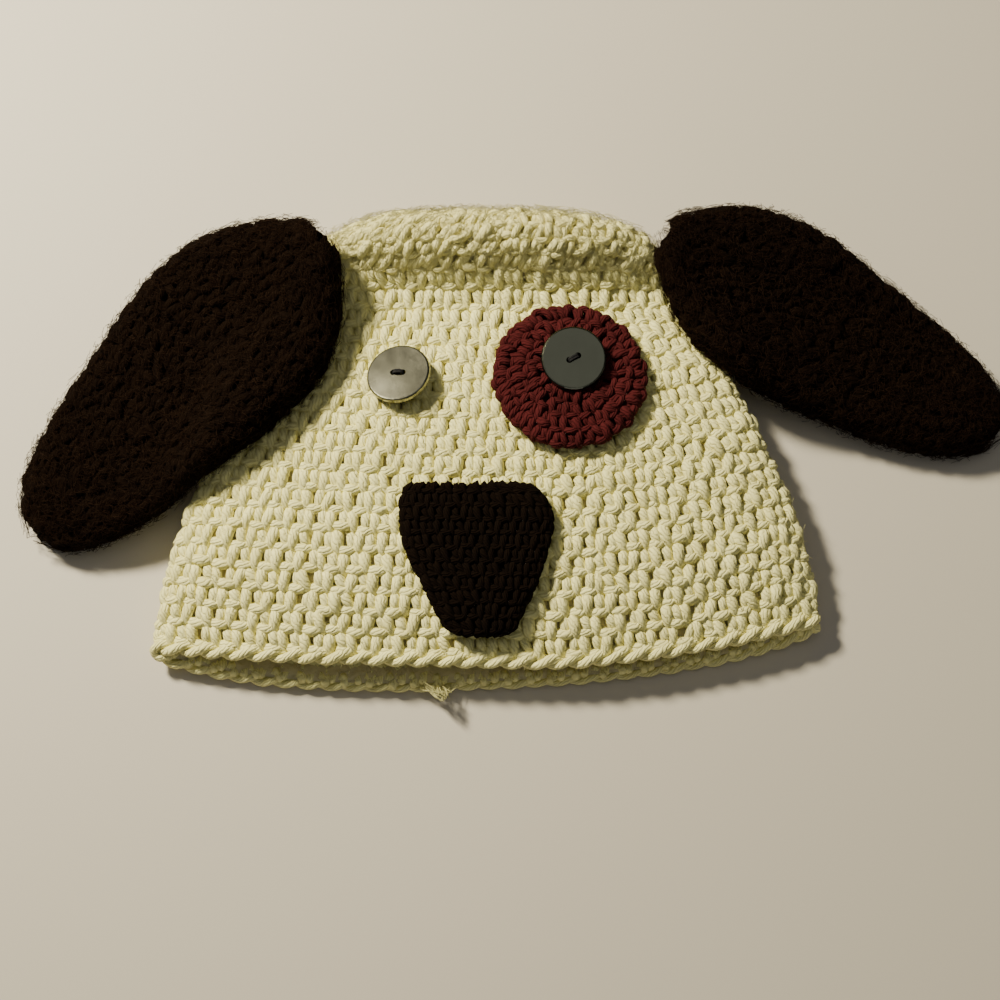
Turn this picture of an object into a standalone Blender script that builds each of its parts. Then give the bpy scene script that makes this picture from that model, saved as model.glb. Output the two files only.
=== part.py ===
"""A crocheted baby hat with two ears, lying flat on its back. Metres, +Z up.

The crown is one hollow wall of crochet, open at the rim. The ears, the patch round one eye
and the nose are crocheted pieces laid on it and sewn down, and each button is held by a bar
of thread through its two holes. The origin is the middle of the flat back that the hat lies
on. +Y points to the top of the crown, and +X to the right ear as seen from above.
"""

import math
from collections import namedtuple

import bmesh
import bpy
from mathutils import Matrix, Vector
from mathutils.bvhtree import BVHTree

MM = 0.001
CLEARANCE = 0.3 * MM  # between a piece and what it is sewn to

# The crown, measured as it lies
CROWN_WIDTH = 205 * MM
CROWN_LENGTH = 151 * MM
RIDGE_HEIGHT = 31 * MM  # the roll that stands across the top between the ears
CROWN_WALL = 4.0 * MM
RIM_BEND = 12 * MM  # how far the rim curves up at its two sides
RIM_BEND_POWER = 2.5  # more leaves the middle of the rim straighter
RIM_TILT = 0.042  # slope of the rim across the hat
FRONT_SETBACK = 4.2 * MM  # how far the front rim ends before the back one
SIDE_ROUNDNESS = 3.0  # power of the rounded section: 2 is an ellipse, more is squarer
BACK_SPREAD = 1.22  # how far the back would sag below the ground, which flattens it
CROWN_AROUND = 48
CROWN_ALONG = 26
FRONT_LOOKS = 40  # sections measured for each one that is made, to space them evenly

# Ears, from the root on the crown's corner, which keeps its share of the crown, to the tip
EAR_THICKNESS = 11.5 * MM
LEFT_EAR_LENGTH = 131 * MM
LEFT_EAR_WIDTH = 66 * MM
LEFT_EAR_ROOT = (-0.2463 * CROWN_WIDTH, 0.4358 * CROWN_LENGTH)
LEFT_EAR_ANGLE = math.radians(-134.5)
RIGHT_EAR_LENGTH = 126 * MM
RIGHT_EAR_WIDTH = 57 * MM
RIGHT_EAR_ROOT = (0.2634 * CROWN_WIDTH, 0.4437 * CROWN_LENGTH)
RIGHT_EAR_ANGLE = math.radians(-29)
EAR_ROOT_HEIGHT = 25 * MM  # underside of the ear at its root
EAR_LANDING = 0.7  # share of the length past which the ear lies on the ground
EAR_CENTRE = 0.42  # share of the length at which the ear's rings are centred

# The patch round the right eye, and the nose
PATCH_DIAMETER = 49 * MM
PATCH_THICKNESS = 4.0 * MM
PATCH_PLACE = (25.5 * MM, 19.5 * MM)
NOSE_WIDTH = 46.8 * MM
NOSE_LENGTH = 50.0 * MM
NOSE_THICKNESS = 4.2 * MM
NOSE_TOP = (-3.2 * MM, -12.8 * MM)

# Buttons and the thread that holds them
BUTTON_DIAMETER = 20 * MM
BUTTON_THICKNESS = 2.2 * MM
BUTTON_ROUNDING = 0.6 * MM
BUTTON_STEPS = 32
ROUNDING_STEPS = 3
WELD_DISTANCE = 0.01 * MM  # under which the points of a turned button are joined
HOLE_PITCH = 3.0 * MM
HOLE_STEPS = 12
THREAD_DIAMETER = 1.4 * MM
THREAD_BEND = 0.9 * MM
THREAD_BEND_STEPS = 4
LEFT_BUTTON_PLACE = (-27 * MM, 19.5 * MM)
LEFT_BUTTON_FACING = (-0.20, 0.24, 1.0)
LEFT_BUTTON_TURN = math.radians(-6)
RIGHT_BUTTON_PLACE = (26.5 * MM, 23.5 * MM)
RIGHT_BUTTON_FACING = (0.02, -0.06, 1.0)
RIGHT_BUTTON_TURN = math.radians(28)

PAD_AROUND = 32
PAD_RINGS = (0.17, 0.34, 0.5, 0.66, 0.81, 0.93, 0.985)  # shares of the way from centre to edge
PAD_EDGE = 0.4  # height of a pad's edge, as a share of its thickness
PAD_SQUARENESS = 14  # power of a pad's rounding: more keeps it thick nearer to its edge
CURVE_STEPS = 12  # points of a smooth outline between two of its corners
BED_LOOKS = (0.2, 0.4, 0.6)  # shares of the way to the next points at which the bed is felt

# How a pad lies: how often it is smoothed, which makes it stiff, its sag each time, and
# how far its rounded edge comes down onto the bed, from 0, not at all, to 1, all the way
Lie = namedtuple("Lie", "passes sag edge_down")
EAR_LIE = Lie(40, 0.1 * MM, 1.0)
FACE_LIE = Lie(2, 0.0, 0.0)

# Sections of the crown from its end to the rim. along is a share of the crown's length,
# half_width of half its width, low and high of the ridge's height, and bend says how much
# of the rim's own curve and slope the section has.
CrownRow = namedtuple("CrownRow", "along half_width low high bend")
CROWN_ROWS = [
    CrownRow(0.000, 0.000, 0.470, 0.470, 0.00),
    CrownRow(0.003, 0.120, 0.320, 0.620, 0.00),
    CrownRow(0.008, 0.250, 0.190, 0.770, 0.00),
    CrownRow(0.019, 0.365, 0.080, 0.890, 0.00),
    CrownRow(0.040, 0.455, 0.020, 0.970, 0.00),
    CrownRow(0.070, 0.515, 0.000, 1.000, 0.00),
    CrownRow(0.103, 0.548, 0.000, 0.945, 0.00),
    CrownRow(0.136, 0.568, 0.000, 0.780, 0.03),
    CrownRow(0.169, 0.593, 0.000, 0.630, 0.10),
    CrownRow(0.209, 0.618, 0.000, 0.570, 0.20),
    CrownRow(0.262, 0.649, 0.000, 0.580, 0.35),
    CrownRow(0.334, 0.702, 0.000, 0.630, 0.50),
    CrownRow(0.434, 0.755, 0.000, 0.680, 0.70),
    CrownRow(0.533, 0.814, 0.000, 0.695, 0.80),
    CrownRow(0.632, 0.869, 0.000, 0.680, 0.85),
    CrownRow(0.732, 0.925, 0.000, 0.635, 0.90),
    CrownRow(0.831, 0.962, 0.000, 0.570, 0.95),
    CrownRow(0.911, 0.984, 0.000, 0.500, 1.00),
    CrownRow(1.000, 1.000, 0.000, 0.440, 1.00),
]

# Outline of an ear. along is a share of its length, half_width of half its width.
EarRow = namedtuple("EarRow", "along half_width")
EAR_ROWS = [
    EarRow(0.035, 0.34),
    EarRow(0.110, 0.64),
    EarRow(0.190, 0.87),
    EarRow(0.290, 0.99),
    EarRow(0.390, 1.00),
    EarRow(0.490, 0.96),
    EarRow(0.580, 0.88),
    EarRow(0.690, 0.80),
    EarRow(0.800, 0.69),
    EarRow(0.900, 0.52),
    EarRow(0.965, 0.32),
]

# Outline of the nose. along is a share of its length, left and right of half its width.
NoseRow = namedtuple("NoseRow", "along left right")
NOSE_ROWS = [
    NoseRow(0.020, 0.78, 0.55),
    NoseRow(0.100, 0.97, 0.86),
    NoseRow(0.220, 1.00, 1.00),
    NoseRow(0.340, 0.98, 0.99),
    NoseRow(0.500, 0.88, 0.90),
    NoseRow(0.680, 0.67, 0.77),
    NoseRow(0.810, 0.54, 0.61),
    NoseRow(0.930, 0.34, 0.50),
]

Paint = namedtuple("Paint", "colour roughness metallic")
CREAM_YARN = Paint((0.74, 0.69, 0.48), 0.9, 0.0)
BROWN_YARN = Paint((0.022, 0.012, 0.008), 0.95, 0.0)
BURGUNDY_YARN = Paint((0.12, 0.018, 0.03), 0.9, 0.0)
BUTTON_METAL = Paint((0.36, 0.34, 0.28), 0.35, 1.0)
BLACK_THREAD = Paint((0.01, 0.01, 0.012), 0.8, 0.0)


def clear_scene():
    for obj in list(bpy.data.objects):
        bpy.data.objects.remove(obj, do_unlink=True)


def new_collection(name):
    collection = bpy.data.collections.new(name)
    bpy.context.scene.collection.children.link(collection)
    return collection


def material(name, paint):
    made = bpy.data.materials.new(name)
    made.use_nodes = True
    shader = made.node_tree.nodes["Principled BSDF"]
    shader.inputs["Base Color"].default_value = (*paint.colour, 1.0)
    shader.inputs["Roughness"].default_value = paint.roughness
    shader.inputs["Metallic"].default_value = paint.metallic
    made.diffuse_color = (*paint.colour, 1.0)
    return made


def add_object(name, data, collection, finish=None):
    obj = bpy.data.objects.new(name, data)
    collection.objects.link(obj)
    if finish:
        data.materials.append(finish)
    return obj


def smooth_between(before, start, end, after, share):
    """A point of the smooth curve from start to end, which also heeds its two neighbours."""
    square, cube = share * share, share * share * share
    return 0.5 * (
        2 * start
        + (end - before) * share
        + (2 * before - 5 * start + 4 * end - after) * square
        + (3 * start - before - 3 * end + after) * cube
    )


def crown_row(share):
    """The crown's section at this share of the way through its table of rows."""
    place = share * (len(CROWN_ROWS) - 1)
    index = min(int(place), len(CROWN_ROWS) - 2)
    rows = [CROWN_ROWS[min(max(index + step, 0), len(CROWN_ROWS) - 1)] for step in (-1, 0, 1, 2)]
    return CrownRow(*(smooth_between(*column, place - index) for column in zip(*rows)))


def crown_point(row, turn):
    """A point of the crown's outer face. turn goes once round, from the right over the front."""
    across = math.copysign(abs(math.cos(turn)) ** (2 / SIDE_ROUNDNESS), math.cos(turn))
    rise = math.copysign(abs(math.sin(turn)) ** (2 / SIDE_ROUNDNESS), math.sin(turn))
    low, high = row.low * RIDGE_HEIGHT, row.high * RIDGE_HEIGHT
    middle = (low + high) / 2
    spread = 1.0 if rise > 0 else BACK_SPREAD
    x = across * row.half_width * CROWN_WIDTH / 2
    z = max(middle + rise * spread * (high - low) / 2, low, 0.0)
    frontness = (z - low) / (high - low) if high > low else 0.5
    curve = RIM_BEND * abs(across) ** RIM_BEND_POWER + RIM_TILT * x
    setback = FRONT_SETBACK * frontness * row.along
    y = CROWN_LENGTH * (0.5 - row.along) + row.bend * (curve + setback)
    return Vector((x, y, z))


def even_crown_rows(count):
    """Sections spaced evenly along the front of the crown, from its end to the rim."""
    steps = FRONT_LOOKS * count
    rows = [crown_row(step / steps) for step in range(steps + 1)]
    front = [crown_point(row, math.pi / 2) for row in rows]
    lengths = [0.0]
    for before, after in zip(front, front[1:]):
        lengths.append(lengths[-1] + (after - before).length)
    chosen = []
    step = 0
    for index in range(count + 1):
        while lengths[step] < lengths[-1] * index / count and step < steps:
            step += 1
        chosen.append(rows[step])
    return chosen


def make_crown(collection, finish):
    mesh = bmesh.new()
    pole = mesh.verts.new(crown_point(CROWN_ROWS[0], 0))
    turns = [math.tau * step / CROWN_AROUND for step in range(CROWN_AROUND)]
    loops = [
        [mesh.verts.new(crown_point(row, turn)) for turn in turns]
        for row in even_crown_rows(CROWN_ALONG)[1:]
    ]
    for step in range(CROWN_AROUND):
        following = (step + 1) % CROWN_AROUND
        mesh.faces.new((pole, loops[0][following], loops[0][step]))
        for upper, lower in zip(loops, loops[1:]):
            mesh.faces.new((upper[step], upper[following], lower[following], lower[step]))
    data = bpy.data.meshes.new("crown")
    mesh.to_mesh(data)
    mesh.free()
    data.shade_smooth()
    crown = add_object("crown", data, collection, finish)
    wall = crown.modifiers.new("wall", "SOLIDIFY")
    wall.thickness = CROWN_WALL
    wall.offset = -1
    wall.use_even_offset = True
    return crown


def surface_of(*objects):
    """A function that gives the height of the highest of these objects at x and y, or None."""
    bpy.context.view_layer.update()
    graph = bpy.context.evaluated_depsgraph_get()
    trees = []
    for obj in objects:
        shape = bmesh.new()
        shape.from_mesh(obj.evaluated_get(graph).data)
        shape.transform(obj.matrix_world)
        trees.append(BVHTree.FromBMesh(shape))
        shape.free()

    def height(x, y):
        above = Vector((x, y, CROWN_LENGTH))
        hits = [tree.ray_cast(above, Vector((0, 0, -1)))[0] for tree in trees]
        return max((hit.z for hit in hits if hit), default=None)

    return height


def smooth_loop(corners, count):
    """count points spaced evenly on the smooth closed curve through the corners."""
    fine = []
    for index in range(len(corners)):
        near = [corners[(index + step) % len(corners)] for step in (-1, 0, 1, 2)]
        fine += [smooth_between(*near, step / CURVE_STEPS) for step in range(CURVE_STEPS)]
    lengths = [0.0]
    for before, after in zip(fine, fine[1:] + fine[:1]):
        lengths.append(lengths[-1] + (after - before).length)
    chosen = []
    step = 0
    for index in range(count):
        while lengths[step + 1] < lengths[-1] * index / count:
            step += 1
        share = (lengths[-1] * index / count - lengths[step]) / (lengths[step + 1] - lengths[step])
        chosen.append(fine[step].lerp(fine[(step + 1) % len(fine)], share))
    return chosen


def ear_outline(root, angle, length, width):
    ahead = Vector((math.cos(angle), math.sin(angle)))
    aside = Vector((-ahead.y, ahead.x))
    start = Vector(root)
    near = [
        start + ahead * row.along * length + aside * row.half_width * width / 2 for row in EAR_ROWS
    ]
    far = [
        start + ahead * row.along * length - aside * row.half_width * width / 2 for row in EAR_ROWS
    ]
    return [start] + far + [start + ahead * length] + near[::-1]


def nose_outline():
    top = Vector(NOSE_TOP)
    right = [
        top + Vector((row.right * NOSE_WIDTH / 2, -row.along * NOSE_LENGTH)) for row in NOSE_ROWS
    ]
    left = [
        top + Vector((-row.left * NOSE_WIDTH / 2, -row.along * NOSE_LENGTH)) for row in NOSE_ROWS
    ]
    return left + [top - Vector((0, NOSE_LENGTH))] + right[::-1] + [top]


def patch_outline():
    middle = Vector(PATCH_PLACE)
    turns = [math.tau * step / PAD_AROUND for step in range(PAD_AROUND)]
    return [
        middle + PATCH_DIAMETER / 2 * Vector((math.cos(turn), math.sin(turn))) for turn in turns
    ]


def settled(heights, floor, lie):
    """Heights on rings round a centre, smoothed and let down, but never below the floor."""
    for _ in range(lie.passes):
        middle = sum(heights[1]) / len(heights[1]) - lie.sag
        smoothed = [[max(middle, floor[0][0])] * PAD_AROUND]
        for ring in range(1, len(heights)):
            inner, outer = heights[ring - 1], heights[min(ring + 1, len(heights) - 1)]
            row = heights[ring]
            aside = [row[k - 1] + row[(k + 1) % PAD_AROUND] for k in range(PAD_AROUND)]
            smoothed.append(
                [
                    max(floor[ring][k], row[k] / 2 + (inner[k] + outer[k] + aside[k]) / 8 - lie.sag)
                    for k in range(PAD_AROUND)
                ]
            )
        heights = smoothed
    return heights


def laid_pad(name, outline, centre, thickness, bed, lie, collection, finish, start=None):
    """A soft round-edged pad whose underside settles from start onto the bed.

    Both are functions of x and y. The floor under a point is the highest that the bed
    reaches between it and the points round it.
    """
    edge = smooth_loop(outline, PAD_AROUND)
    shares = (0.0, *PAD_RINGS, 1.0)
    rounding = [math.sqrt(1 - share**PAD_SQUARENESS) for share in shares]
    places = [[centre.lerp(point, share) for point in edge] for share in shares]

    def floor_at(ring, k):
        highest = bed(*places[ring][k])
        for near_ring in (max(ring - 1, 0), ring, min(ring + 1, len(shares) - 1)):
            for near_k in (k - 1, k, (k + 1) % PAD_AROUND):
                for share in BED_LOOKS:
                    look = places[ring][k].lerp(places[near_ring][near_k], share)
                    highest = max(highest, bed(*look))
        return highest - lie.edge_down * PAD_EDGE * (1 - rounding[ring]) * thickness

    floor = [[floor_at(ring, k) for k in range(PAD_AROUND)] for ring in range(len(shares))]
    held = floor
    if start:
        held = [
            [max(low, start(*place)) for low, place in zip(*ring)] for ring in zip(floor, places)
        ]
    under = settled(held, floor, lie)
    mesh = bmesh.new()

    def ring_of_points(ring, lift):
        return [
            mesh.verts.new((*places[ring][k], under[ring][k] + lift * thickness))
            for k in range(PAD_AROUND)
        ]

    last = len(shares) - 1
    rise = 1 - PAD_EDGE
    top = [ring_of_points(ring, PAD_EDGE + rise * rounding[ring]) for ring in range(1, last)]
    bottom = [ring_of_points(ring, PAD_EDGE - PAD_EDGE * rounding[ring]) for ring in range(1, last)]
    side = ring_of_points(last, PAD_EDGE)
    crest = mesh.verts.new((*centre, under[0][0] + thickness))
    base = mesh.verts.new((*centre, under[0][0]))
    for k in range(PAD_AROUND):
        after = (k + 1) % PAD_AROUND
        mesh.faces.new((crest, top[0][k], top[0][after]))
        mesh.faces.new((base, bottom[0][after], bottom[0][k]))
        for inner, outer in zip(top, top[1:] + [side]):
            mesh.faces.new((inner[k], outer[k], outer[after], inner[after]))
        for inner, outer in zip(bottom, bottom[1:] + [side]):
            mesh.faces.new((inner[k], inner[after], outer[after], outer[k]))
    bmesh.ops.recalc_face_normals(mesh, faces=mesh.faces)
    data = bpy.data.meshes.new(name)
    mesh.to_mesh(data)
    mesh.free()
    data.shade_smooth()
    return add_object(name, data, collection, finish)


def make_ear(name, root, angle, length, width, crown_top, collection, finish):
    """An ear laid from the crown's corner over its side and down to the ground."""
    start = Vector(root)
    ahead = Vector((math.cos(angle), math.sin(angle)))

    def bed(x, y):
        cloth = crown_top(x, y)
        return 0.0 if cloth is None else cloth + CLEARANCE

    def held_out(x, y):
        along = (Vector((x, y)) - start).dot(ahead) / length
        return EAR_ROOT_HEIGHT * min(1.0, max(0.0, 1 - along / EAR_LANDING))

    centre = start + ahead * EAR_CENTRE * length
    outline = ear_outline(root, angle, length, width)
    return laid_pad(
        name, outline, centre, EAR_THICKNESS, bed, EAR_LIE, collection, finish, start=held_out
    )


def make_face_pad(name, outline, centre, thickness, crown_top, collection, finish):
    """A crocheted piece laid flat on the front of the crown."""

    def bed(x, y):
        return crown_top(x, y) + CLEARANCE

    return laid_pad(name, outline, centre, thickness, bed, FACE_LIE, collection, finish)


def seat(place, facing, turn, height):
    """The frame of a button: its underside rests on the cloth, clear of it, facing this way."""
    normal = Vector(facing).normalized()
    bar = Vector((math.cos(turn), math.sin(turn), 0))
    bar = (bar - normal * bar.dot(normal)).normalized()
    spin = Matrix((bar, normal.cross(bar), normal)).transposed()
    lift = 0.0
    rims = [Vector((0, 0, 0))]
    for share in (0.5, 1.0):
        for step in range(BUTTON_STEPS):
            angle = math.tau * step / BUTTON_STEPS
            rims.append(Vector((math.cos(angle), math.sin(angle), 0)) * share * BUTTON_DIAMETER / 2)
    for rim in rims:
        point = spin @ rim
        x, y = place[0] + point.x, place[1] + point.y
        lift = max(lift, height(x, y) + CLEARANCE / normal.z - point.z)
    return Matrix.Translation((*place, lift)) @ spin.to_4x4()


def make_button(name, frame, collection, cutters, finish):
    """A turned flat disc with a rounded edge and two holes."""
    radius = BUTTON_DIAMETER / 2
    turns = [math.pi / 2 * step / ROUNDING_STEPS for step in range(ROUNDING_STEPS + 1)]
    inner = radius - BUTTON_ROUNDING
    upper = [
        (
            inner + BUTTON_ROUNDING * math.sin(t),
            BUTTON_THICKNESS - BUTTON_ROUNDING * (1 - math.cos(t)),
        )
        for t in turns
    ]
    lower = [(r, BUTTON_THICKNESS - z) for r, z in upper[::-1]]
    profile = [(0, BUTTON_THICKNESS), *upper, *lower, (0, 0)]
    data = bpy.data.meshes.new(name)
    edges = [(step, step + 1) for step in range(len(profile) - 1)]
    data.from_pydata([(r, 0, z) for r, z in profile], edges, [])
    button = add_object(name, data, collection, finish)
    button.matrix_world = frame
    turned = button.modifiers.new("turned", "SCREW")
    turned.steps = BUTTON_STEPS
    turned.render_steps = BUTTON_STEPS
    turned.use_merge_vertices = True
    turned.merge_threshold = WELD_DISTANCE
    hole_radius = THREAD_DIAMETER / 2 + CLEARANCE
    for side in (-1, 1):
        bore = bpy.data.meshes.new(f"{name}_hole")
        drill = bmesh.new()
        bmesh.ops.create_cone(
            drill,
            cap_ends=True,
            segments=HOLE_STEPS,
            radius1=hole_radius,
            radius2=hole_radius,
            depth=3 * BUTTON_THICKNESS,
        )
        drill.to_mesh(bore)
        drill.free()
        cutter = add_object(f"{name}_hole_{'left' if side < 0 else 'right'}", bore, cutters)
        cutter.matrix_world = frame @ Matrix.Translation((side * HOLE_PITCH / 2, 0, 0))
        cutter.hide_render = True
        cutter.display_type = "WIRE"
        hole = button.modifiers.new("hole", "BOOLEAN")
        hole.operation = "DIFFERENCE"
        hole.object = cutter
    return button


def make_thread(name, frame, height, collection, finish):
    """The bar of thread over a button, with a leg down each hole to the cloth."""
    top = BUTTON_THICKNESS + CLEARANCE + THREAD_DIAMETER / 2
    half = HOLE_PITCH / 2
    foot = {}
    for side in (-1, 1):
        depths = []
        for dx in (-1, 0, 1):
            for dy in (-1, 0, 1):
                at = Vector((side * half + dx * THREAD_DIAMETER / 2, dy * THREAD_DIAMETER / 2, 0))
                world = frame @ at
                depths.append(height(world.x, world.y) - world.z)
        foot[side] = max(depths) + CLEARANCE
    points = [(-half, foot[-1])]
    for side in (-1, 1):
        turns = [math.pi / 2 * step / THREAD_BEND_STEPS for step in range(THREAD_BEND_STEPS + 1)]
        corner = [
            (side * (half - THREAD_BEND * (1 - math.cos(t))), top - THREAD_BEND * (1 - math.sin(t)))
            for t in turns
        ]
        points += corner if side < 0 else corner[::-1]
    points.append((half, foot[1]))
    data = bpy.data.curves.new(name, "CURVE")
    data.dimensions = "3D"
    data.bevel_depth = THREAD_DIAMETER / 2
    data.bevel_resolution = 1
    data.use_fill_caps = True
    spline = data.splines.new("POLY")
    spline.points.add(len(points) - 1)
    for point, (x, z) in zip(spline.points, points):
        point.co = (x, 0, z, 1)
    thread = add_object(name, data, collection, finish)
    thread.matrix_world = frame
    return thread


clear_scene()
parts = new_collection("baby_hat_with_ears")
cutters = new_collection("cutters")
cream = material("cream_yarn", CREAM_YARN)
brown = material("brown_yarn", BROWN_YARN)
burgundy = material("burgundy_yarn", BURGUNDY_YARN)
metal = material("button_metal", BUTTON_METAL)
black = material("black_thread", BLACK_THREAD)

crown = make_crown(parts, cream)
crown_top = surface_of(crown)

for name, root, angle, length, width in (
    ("ear_left", LEFT_EAR_ROOT, LEFT_EAR_ANGLE, LEFT_EAR_LENGTH, LEFT_EAR_WIDTH),
    ("ear_right", RIGHT_EAR_ROOT, RIGHT_EAR_ANGLE, RIGHT_EAR_LENGTH, RIGHT_EAR_WIDTH),
):
    make_ear(name, root, angle, length, width, crown_top, parts, brown)

patch = make_face_pad(
    "eye_patch", patch_outline(), Vector(PATCH_PLACE), PATCH_THICKNESS, crown_top, parts, burgundy
)
nose_middle = Vector(NOSE_TOP) - Vector((0, NOSE_LENGTH / 2))
make_face_pad("nose", nose_outline(), nose_middle, NOSE_THICKNESS, crown_top, parts, brown)

for side, place, facing, turn, cloth in (
    ("left", LEFT_BUTTON_PLACE, LEFT_BUTTON_FACING, LEFT_BUTTON_TURN, crown_top),
    ("right", RIGHT_BUTTON_PLACE, RIGHT_BUTTON_FACING, RIGHT_BUTTON_TURN, surface_of(patch)),
):
    frame = seat(place, facing, turn, cloth)
    make_button(f"button_{side}", frame, parts, cutters, metal)
    make_thread(f"button_thread_{side}", frame, cloth, parts, black)
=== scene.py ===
import math

import bpy
import numpy as np
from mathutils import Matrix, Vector
from mathutils.bvhtree import BVHTree


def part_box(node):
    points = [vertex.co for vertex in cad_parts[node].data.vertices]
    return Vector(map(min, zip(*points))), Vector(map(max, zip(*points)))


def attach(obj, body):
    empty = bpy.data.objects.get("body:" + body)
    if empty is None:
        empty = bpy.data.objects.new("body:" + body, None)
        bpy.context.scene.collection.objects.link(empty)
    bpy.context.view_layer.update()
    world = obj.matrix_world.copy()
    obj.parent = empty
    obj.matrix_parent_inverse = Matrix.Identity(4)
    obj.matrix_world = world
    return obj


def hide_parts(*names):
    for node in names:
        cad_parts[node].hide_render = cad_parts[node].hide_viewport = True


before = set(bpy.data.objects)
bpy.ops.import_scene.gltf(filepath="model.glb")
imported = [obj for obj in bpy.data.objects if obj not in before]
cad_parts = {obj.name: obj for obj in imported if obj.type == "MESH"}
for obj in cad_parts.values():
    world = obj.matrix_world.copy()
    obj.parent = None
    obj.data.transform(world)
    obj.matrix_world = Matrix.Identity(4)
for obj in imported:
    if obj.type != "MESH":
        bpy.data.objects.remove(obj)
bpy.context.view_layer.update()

MM = 0.001

# The view: from in front of the rim and well above it, so that the hat is seen face up as it
# lies on its back.
VIEW_ELEVATION = math.radians(76)
VIEW_DISTANCE = 480 * MM
VIEW_AIM = Vector((4.0 * MM, -14.4 * MM, 0))
camera_data = bpy.data.cameras.new("camera")
camera_data.sensor_width = 36
camera_data.lens = 54.36
camera_data.clip_start = 10 * MM
camera = bpy.data.objects.new("camera", camera_data)
bpy.context.scene.collection.objects.link(camera)
away = Vector((0, -math.cos(VIEW_ELEVATION), math.sin(VIEW_ELEVATION)))
camera.location = VIEW_AIM + away * VIEW_DISTANCE
camera.rotation_euler = away.to_track_quat("Z", "Y").to_euler()
bpy.context.scene.camera = camera

# The crown: one cloth of soft cream worsted yarn, worked in single crochet in rounds from its
# end to the rim. Each stitch is a left leg, a right leg and a short bar wrapped round them.
CROWN_WIDTH = 205 * MM
CROWN_LENGTH = 151 * MM
RIDGE_HEIGHT = 31 * MM
RIM_BEND, RIM_BEND_POWER, RIM_TILT = 12 * MM, 2.5, 0.042
RIM_LIFT, RIM_LIFT_FROM, RIM_LIFT_WIDTH = 3.1 * MM, 20 * MM, 125 * MM  # of its left half in front
FRONT_SETBACK = 4.2 * MM
SIDE_ROUNDNESS, BACK_SPREAD = 3.0, 1.22
CROWN_ROUNDS = 26
CROWN_STITCHES = 60  # in a full round
CROWN_YARN = 3.35 * MM
CROWN_SINK = 1.4 * MM  # of the strands' middles into the crown, so that its outline keeps its size
CREAM_PITCH = 6.2 * MM  # width of a stitch where the rounds are still growing
CLOSE_ROUNDS = 6  # at its end, which are worked closer
EDGE_ROUND = 0.45  # of a round, taken up by the rope of strands at the rim
LOOKS = 8  # sections of the cloth for each round
AROUND_LOOKS = 480  # points round each section
FINE_ROWS, FINE_TURNS = 1200, 1440  # steps in which sections and outlines are measured

# Sections of the crown: along, half width, low, high, share of the rim's curve
CROWN_ROWS = np.array([
    (0.000, 0.000, 0.470, 0.470, 0.00),
    (0.003, 0.120, 0.320, 0.620, 0.00),
    (0.008, 0.250, 0.190, 0.770, 0.00),
    (0.019, 0.365, 0.080, 0.890, 0.00),
    (0.040, 0.455, 0.020, 0.970, 0.00),
    (0.070, 0.515, 0.000, 1.000, 0.00),
    (0.103, 0.548, 0.000, 0.945, 0.00),
    (0.136, 0.568, 0.000, 0.780, 0.03),
    (0.169, 0.593, 0.000, 0.630, 0.10),
    (0.209, 0.618, 0.000, 0.570, 0.20),
    (0.262, 0.649, 0.000, 0.580, 0.35),
    (0.334, 0.702, 0.000, 0.630, 0.50),
    (0.434, 0.755, 0.000, 0.680, 0.70),
    (0.533, 0.814, 0.000, 0.695, 0.80),
    (0.632, 0.869, 0.000, 0.680, 0.85),
    (0.732, 0.925, 0.000, 0.635, 0.90),
    (0.831, 0.962, 0.000, 0.570, 0.95),
    (0.911, 0.984, 0.000, 0.485, 1.00),
    (1.000, 1.000, 0.000, 0.365, 1.00),
])


def smooth_at(rows, places):
    """Points of the smooth curve through the rows, at these places counted in rows."""
    first = np.clip(places.astype(int), 0, len(rows) - 2)
    t = (places - first)[:, None]
    a, b, c, d = (rows[np.clip(first + step, 0, len(rows) - 1)] for step in (-1, 0, 1, 2))
    return 0.5 * (
        2 * b + (c - a) * t + (2 * a - 5 * b + 4 * c - d) * t**2 + (3 * b - a - 3 * c + d) * t**3
    )


def crown_loop(section, turns):
    """Points round one section of the crown. A quarter turn is the middle of its front."""
    along, half_width, low, high, bend = section
    across = np.sign(np.cos(turns)) * np.abs(np.cos(turns)) ** (2 / SIDE_ROUNDNESS)
    rise = np.sign(np.sin(turns)) * np.abs(np.sin(turns)) ** (2 / SIDE_ROUNDNESS)
    low, high = low * RIDGE_HEIGHT, high * RIDGE_HEIGHT
    spread = np.where(rise > 0, 1.0, BACK_SPREAD)
    x = across * half_width * CROWN_WIDTH / 2
    z = np.maximum((low + high) / 2 + rise * spread * (high - low) / 2, max(low, 0))
    frontness = (z - low) / max(high - low, 0.1 * MM)
    curve = RIM_BEND * np.abs(across) ** RIM_BEND_POWER + RIM_TILT * x
    lift = RIM_LIFT * np.sin(math.pi * np.clip((RIM_LIFT_FROM - x) / RIM_LIFT_WIDTH, 0, 1))
    setback = frontness * (FRONT_SETBACK * along + lift)
    y = CROWN_LENGTH * (0.5 - along) + bend * (curve + setback)
    return np.stack([x, y, z], axis=1)


def length_along(points):
    """How far along a line each of its points lies."""
    steps = np.linalg.norm(np.diff(points, axis=0), axis=1)
    return np.concatenate([[0], np.cumsum(steps)])


def spaced(points, count):
    """count + 1 points spaced evenly along a line of points."""
    lengths = length_along(points)
    wanted = np.linspace(0, lengths[-1], count + 1)
    return np.stack([np.interp(wanted, lengths, points[:, k]) for k in range(3)], axis=1)


TINY = 1e-12  # least length that anything is divided by
UPRIGHT = 0.9  # rise of a strand past which its sides are found from +X instead of +Z


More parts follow.
